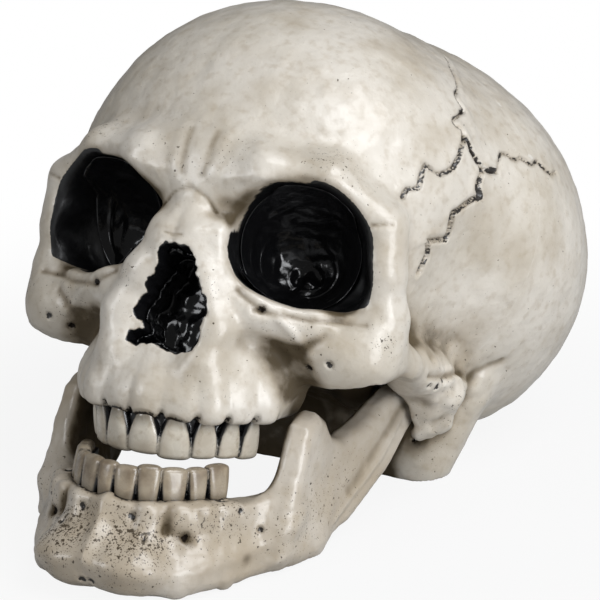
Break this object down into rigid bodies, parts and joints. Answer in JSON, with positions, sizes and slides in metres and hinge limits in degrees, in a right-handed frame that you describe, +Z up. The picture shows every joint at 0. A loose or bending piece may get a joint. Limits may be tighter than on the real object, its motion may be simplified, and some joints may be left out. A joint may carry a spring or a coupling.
{
  "type": "skull decoration",
  "caption": "Life-size hollow skull decoration that stands on its base and lower jaw, with black eye and nose sockets, strips of teeth and a jaw that swings open.",
  "frame": {"origin": "middle of the decoration's box, at the table it stands on", "axes": "+X to the skull's own left, +Y to its back, +Z up; it faces -Y"},
  "size_m": [0.163, 0.2402, 0.1515],
  "materials": {
    "bone": "pale warm-grey bone paint with a brown-grey wash in the hollows, under a clear gloss coat",
    "jaw_bone": "the same bone paint on the lower jaw, under a clear gloss coat",
    "tooth": "ivory paint, glossy, dark between the teeth",
    "lower_tooth": "browned ivory paint, glossy, dark between the teeth",
    "socket_black": "gloss black",
    "steel": "plain zinc-plated steel",
    "nylon": "natural nylon"
  },
  "bodies": {
    "cranium": {"face_shell": "bone", "rear_shell": "bone", "nose_socket": "socket_black", "left_eye_socket": "socket_black", "right_eye_socket": "socket_black", "upper_teeth": "tooth", "left_hinge_pin": "steel", "right_hinge_pin": "steel", "left_hinge_washer": "nylon", "right_hinge_washer": "nylon", "left_ear_screw": "steel", "right_ear_screw": "steel"},
    "jaw": {"mandible": "jaw_bone", "lower_teeth": "lower_tooth"}
  },
  "joints": [
    {"name": "jaw_hinge", "type": "hinge", "parent": "cranium", "child": "jaw", "pos_m": [0, 0.0003, 0.03351], "axis": [1, 0, 0], "range_deg": [-3, 20]}
  ]
}
